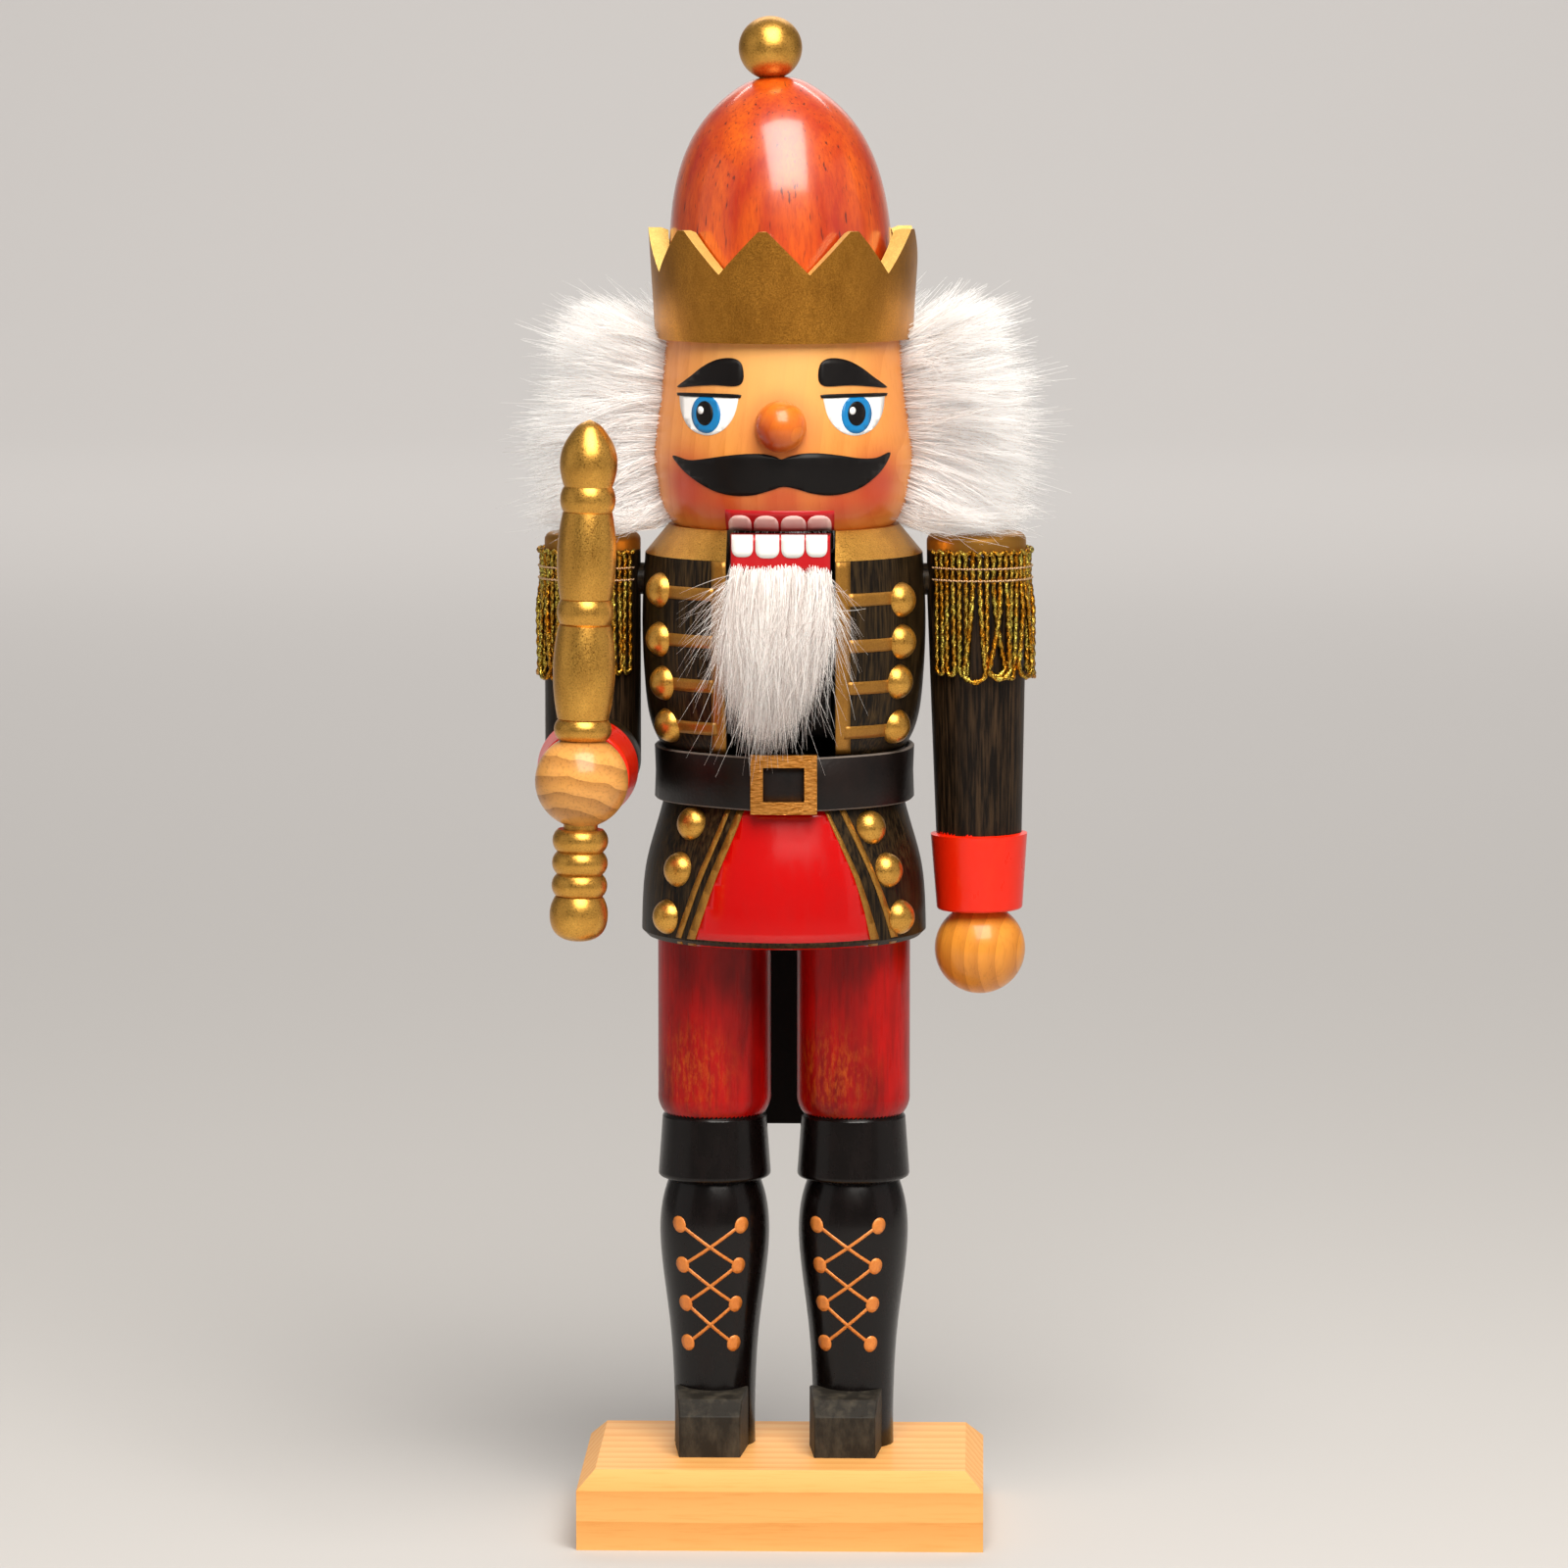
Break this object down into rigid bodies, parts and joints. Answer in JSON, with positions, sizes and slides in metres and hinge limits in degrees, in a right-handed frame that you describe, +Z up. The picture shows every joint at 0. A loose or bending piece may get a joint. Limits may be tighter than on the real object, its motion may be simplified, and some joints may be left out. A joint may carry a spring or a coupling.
{
  "type": "nutcracker figure",
  "caption": "Turned wooden king nutcracker with crown, fur hair and beard, scepter and a jaw lever down its back, standing on a bevelled base.",
  "frame": {"origin": "on the turned axis of the body, at the underside of the base", "axes": "+Z up to the ball on the cap, the figure faces -Y, its own left side is +X"},
  "size_m": [0.1254, 0.1264, 0.381],
  "materials": {
    "pine": "bare pale pine, sanded",
    "steel": "plain wire and screw steel",
    "leg_paint": "red stained thigh, glossy black boot with gold laces",
    "black_paint": "matte black paint",
    "dowel_wood": "plain birch dowel",
    "coat_stain": "black wood stain, with red and gold paint",
    "jaw_paint": "black paint, red mouth with white teeth",
    "belt_leather": "black leather strap",
    "gold_metal": "brass, grained on the buckle and domed on the tacks",
    "face_wood": "varnished natural wood with painted features",
    "nose_paint": "varnished orange red",
    "white_fur": "long white fur pile",
    "gold_paint": "metallic gold paint",
    "cap_stain": "glossy orange red stain",
    "hand_wood": "varnished natural wood",
    "gold_cord": "twisted metallic cord"
  },
  "bodies": {
    "figure": {"base_plate": "pine", "base_screws": "steel", "left_leg": "leg_paint", "right_leg": "leg_paint", "left_shoe_toe": "black_paint", "right_shoe_toe": "black_paint", "hip_dowels": "dowel_wood", "torso": "coat_stain", "jaw_pin": "steel", "neck_dowels": "dowel_wood", "belt": "belt_leather", "belt_buckle": "gold_metal", "chest_buttons": "gold_metal", "skirt_buttons": "gold_metal", "head": "face_wood", "nose": "nose_paint", "hair": "white_fur", "crown": "gold_paint", "cap": "cap_stain", "finial_ball": "gold_paint"},
    "jaw": {"jaw_lever": "jaw_paint", "beard": "white_fur"},
    "left_arm_group": {"left_arm": "coat_stain", "left_hand": "hand_wood", "left_shoulder_dowel": "dowel_wood", "left_epaulette_fringe": "gold_cord"},
    "right_arm_group": {"right_upper_arm": "coat_stain", "right_forearm": "coat_stain", "right_hand": "hand_wood", "right_shoulder_dowel": "dowel_wood", "right_elbow_dowel": "dowel_wood", "right_epaulette_fringe": "gold_cord", "scepter_shaft": "gold_paint", "scepter_grip": "gold_paint"}
  },
  "joints": [
    {"name": "jaw_hinge", "type": "hinge", "parent": "figure", "child": "jaw", "pos_m": [0, 0.008, 0.235], "axis": [1, 0, 0], "range_deg": [0, 28], "deforming": ["beard"]},
    {"name": "left_shoulder", "type": "hinge", "parent": "figure", "child": "left_arm_group", "pos_m": [0.0485, 0, 0.24], "axis": [-1, 0, 0], "range_deg": [-30, 90]},
    {"name": "right_shoulder", "type": "hinge", "parent": "figure", "child": "right_arm_group", "pos_m": [-0.0482, 0, 0.24], "axis": [-1, 0, 0], "range_deg": [-20, 20]}
  ]
}
